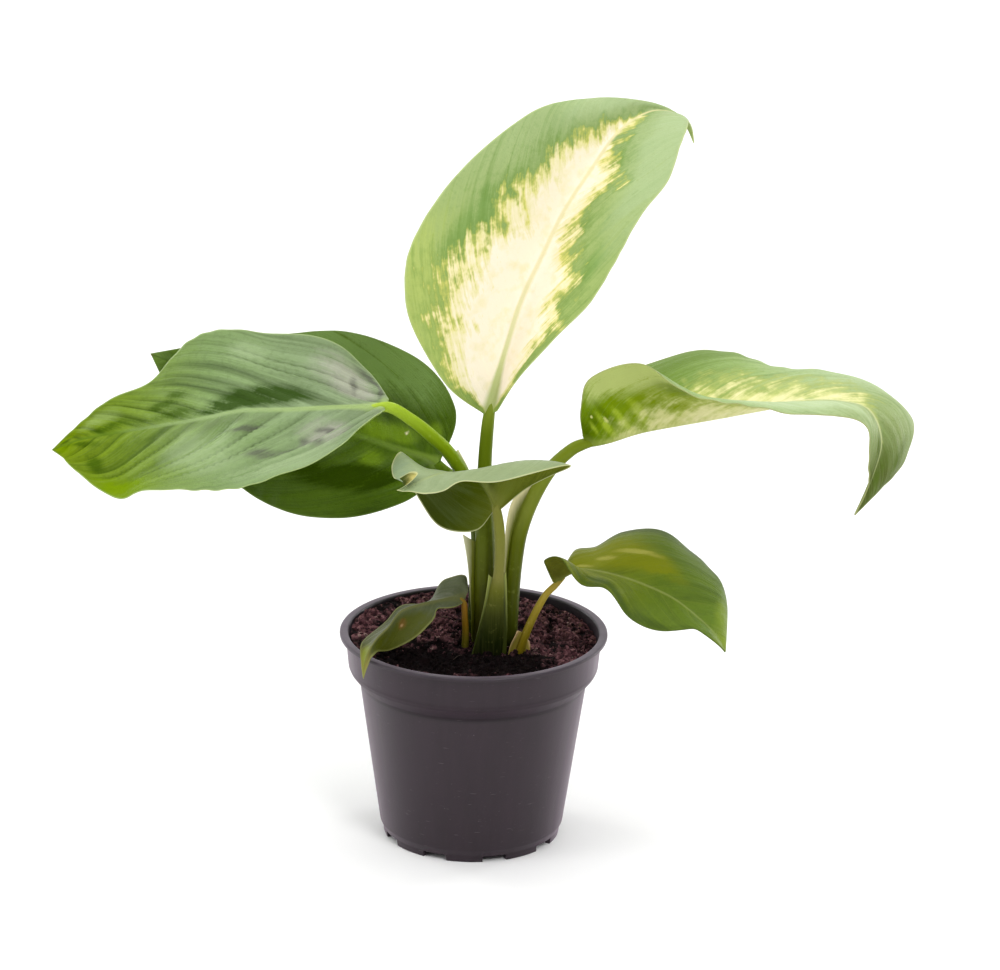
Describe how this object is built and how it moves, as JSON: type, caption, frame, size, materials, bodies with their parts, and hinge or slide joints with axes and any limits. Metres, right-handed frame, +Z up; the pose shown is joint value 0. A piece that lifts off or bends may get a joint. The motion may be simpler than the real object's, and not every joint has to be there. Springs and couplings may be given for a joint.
{
  "type": "potted dieffenbachia",
  "caption": "Young variegated dieffenbachia in a round brown-grey nursery pot filled with compost, its broad leaves on long sheathed stalks.",
  "frame": {"origin": "middle of the circle that the pot's feet stand on, on the pot's axis", "axes": "+Z up along the pot's axis, -Y towards the viewer of the picture, +X to the viewer's right, the way the large arching leaf reaches"},
  "size_m": [0.2874, 0.0901, 0.2489],
  "materials": {
    "pot": "satin moulded polypropylene",
    "compost": "crumbly damp potting compost",
    "leaf_top_blade": "variegated leaf blade, waxy",
    "leaf_top_stalk": "fleshy leaf stalk with its sheath",
    "leaf_left_blade": "leaf blade, waxy",
    "leaf_left_stalk": "fleshy leaf stalk with its sheath",
    "leaf_back_left_blade": "leaf blade, waxy",
    "leaf_back_left_stalk": "fleshy leaf stalk with its sheath",
    "leaf_front_blade": "leaf blade, waxy",
    "leaf_front_stalk": "fleshy leaf stalk with its sheath",
    "leaf_right_blade": "leaf blade, waxy",
    "leaf_right_stalk": "fleshy leaf stalk with its sheath",
    "leaf_low_right_blade": "leaf blade, waxy",
    "leaf_low_right_stalk": "fleshy leaf stalk with its sheath",
    "leaf_low_left_blade": "leaf blade, waxy",
    "leaf_low_left_stalk": "fleshy leaf stalk with its sheath"
  },
  "bodies": {
    "root": {"pot": "pot", "compost": "compost", "leaf_top_blade": "leaf_top_blade", "leaf_top_stalk": "leaf_top_stalk", "leaf_left_blade": "leaf_left_blade", "leaf_left_stalk": "leaf_left_stalk", "leaf_back_left_blade": "leaf_back_left_blade", "leaf_back_left_stalk": "leaf_back_left_stalk", "leaf_front_blade": "leaf_front_blade", "leaf_front_stalk": "leaf_front_stalk", "leaf_right_blade": "leaf_right_blade", "leaf_right_stalk": "leaf_right_stalk", "leaf_low_right_blade": "leaf_low_right_blade", "leaf_low_right_stalk": "leaf_low_right_stalk", "leaf_low_left_blade": "leaf_low_left_blade", "leaf_low_left_stalk": "leaf_low_left_stalk"}
  },
  "joints": []
}
